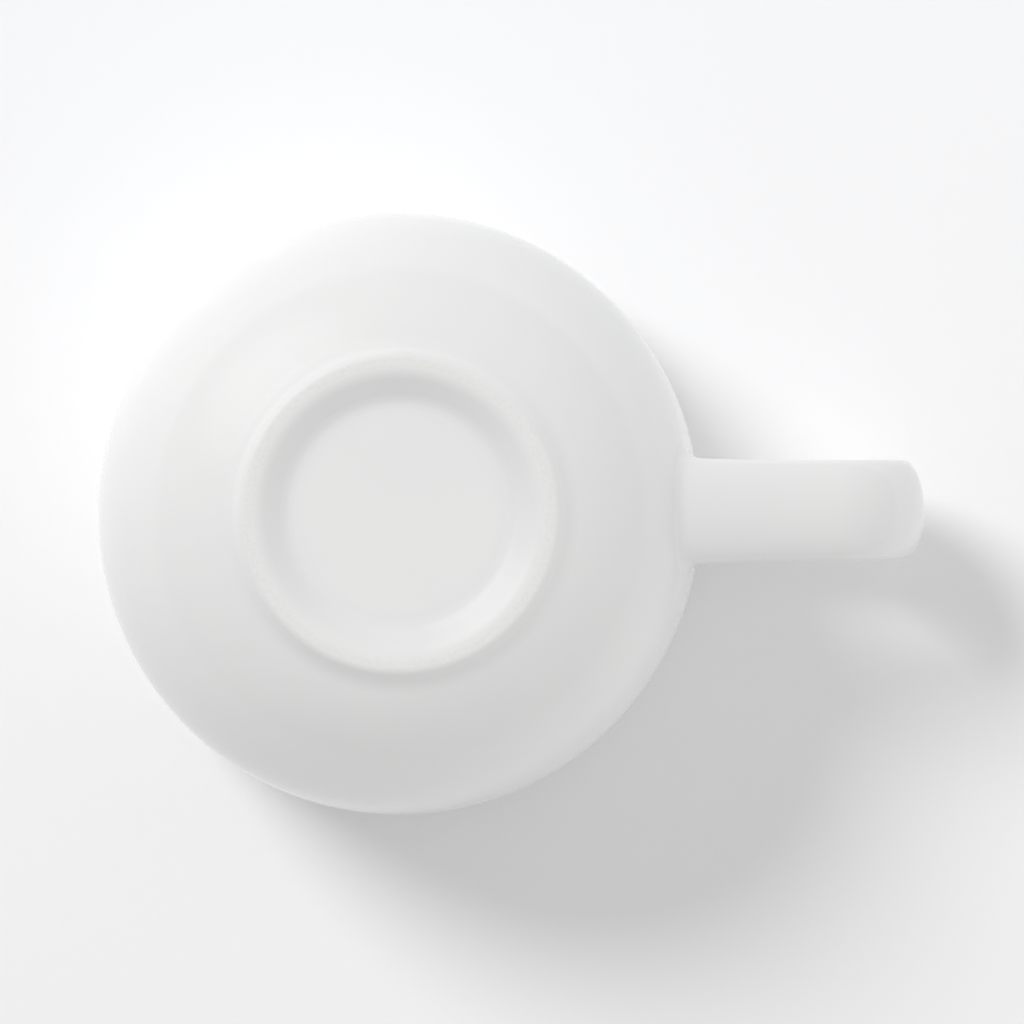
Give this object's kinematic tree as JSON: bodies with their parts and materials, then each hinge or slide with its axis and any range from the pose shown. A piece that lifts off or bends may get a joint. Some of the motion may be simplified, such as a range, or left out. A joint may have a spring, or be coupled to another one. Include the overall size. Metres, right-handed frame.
{
  "type": "shaving mug",
  "caption": "Wide white glazed porcelain shaving mug with a rounded bowl, a low foot ring and an ear-shaped strap handle, for soap and lather.",
  "frame": {"origin": "centre of the foot ring's resting plane, on the bowl's axis", "axes": "+Z out of the mouth, +X from the axis to the handle"},
  "size_m": [0.138, 0.1, 0.065],
  "materials": {
    "bowl_glaze": "smooth glossy white glaze",
    "foot_ring_glaze": "smooth glossy white glaze",
    "handle_glaze": "smooth glossy white glaze",
    "lower_slip_joint_glaze": "smooth glossy white glaze",
    "upper_slip_joint_glaze": "smooth glossy white glaze"
  },
  "bodies": {
    "root": {"bowl": "bowl_glaze", "foot_ring": "foot_ring_glaze", "handle": "handle_glaze", "lower_slip_joint": "lower_slip_joint_glaze", "upper_slip_joint": "upper_slip_joint_glaze"}
  },
  "joints": []
}
